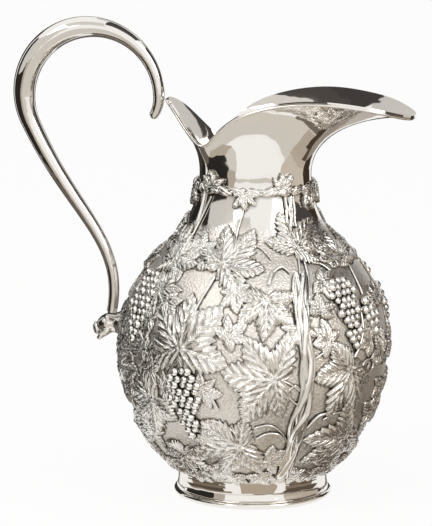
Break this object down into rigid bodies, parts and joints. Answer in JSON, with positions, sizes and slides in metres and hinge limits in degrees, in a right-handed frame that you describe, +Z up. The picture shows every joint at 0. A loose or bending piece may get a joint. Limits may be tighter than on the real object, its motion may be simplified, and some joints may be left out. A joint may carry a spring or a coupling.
{
  "type": "wine ewer",
  "caption": "Silver wine ewer with a globular bowl on a ring foot, helmet lip, looped handle with a vine root, and a grape vine laid round the bowl; pours wine or water.",
  "frame": {"origin": "centre of the foot ring's underside, on the table", "axes": "+Z up along the bowl's axis, +X towards the spout, -X towards the handle, +Y to the side away from the picture's camera"},
  "size_m": [0.2552, 0.1722, 0.3002],
  "materials": {
    "polished_silver": "mirror-polished sterling silver",
    "matted_silver": "stippled, matted sterling silver ground, polished at the shoulder",
    "chased_silver": "cast and chased sterling silver, darkened in the furrows"
  },
  "bodies": {
    "root": {"bowl": "matted_silver", "bunch_far_1": "chased_silver", "bunch_far_2": "chased_silver", "bunch_far_3": "chased_silver", "bunch_far_4": "chased_silver", "bunch_near_1": "chased_silver", "bunch_near_2": "chased_silver", "bunch_near_3": "chased_silver", "bunch_near_4": "chased_silver", "foot_ring": "polished_silver", "garland_leaves": "chased_silver", "garland_ring": "chased_silver", "handle": "polished_silver", "handle_root": "chased_silver", "leaf_far_1": "chased_silver", "leaf_far_10": "chased_silver", "leaf_far_11": "chased_silver", "leaf_far_12": "chased_silver", "leaf_far_13": "chased_silver", "leaf_far_14": "chased_silver", "leaf_far_15": "chased_silver", "leaf_far_16": "chased_silver", "leaf_far_17": "chased_silver", "leaf_far_2": "chased_silver", "leaf_far_3": "chased_silver", "leaf_far_4": "chased_silver", "leaf_far_5": "chased_silver", "leaf_far_6": "chased_silver", "leaf_far_7": "chased_silver", "leaf_far_8": "chased_silver", "leaf_far_9": "chased_silver", "leaf_near_1": "chased_silver", "leaf_near_10": "chased_silver", "leaf_near_11": "chased_silver", "leaf_near_12": "chased_silver", "leaf_near_13": "chased_silver", "leaf_near_14": "chased_silver", "leaf_near_15": "chased_silver", "leaf_near_16": "chased_silver", "leaf_near_17": "chased_silver", "leaf_near_2": "chased_silver", "leaf_near_3": "chased_silver", "leaf_near_4": "chased_silver", "leaf_near_5": "chased_silver", "leaf_near_6": "chased_silver", "leaf_near_7": "chased_silver", "leaf_near_8": "chased_silver", "leaf_near_9": "chased_silver", "neck": "polished_silver", "rim_wire": "polished_silver", "stalks_far": "chased_silver", "stalks_near": "chased_silver", "trunk_far": "chased_silver", "trunk_near": "chased_silver"}
  },
  "joints": []
}
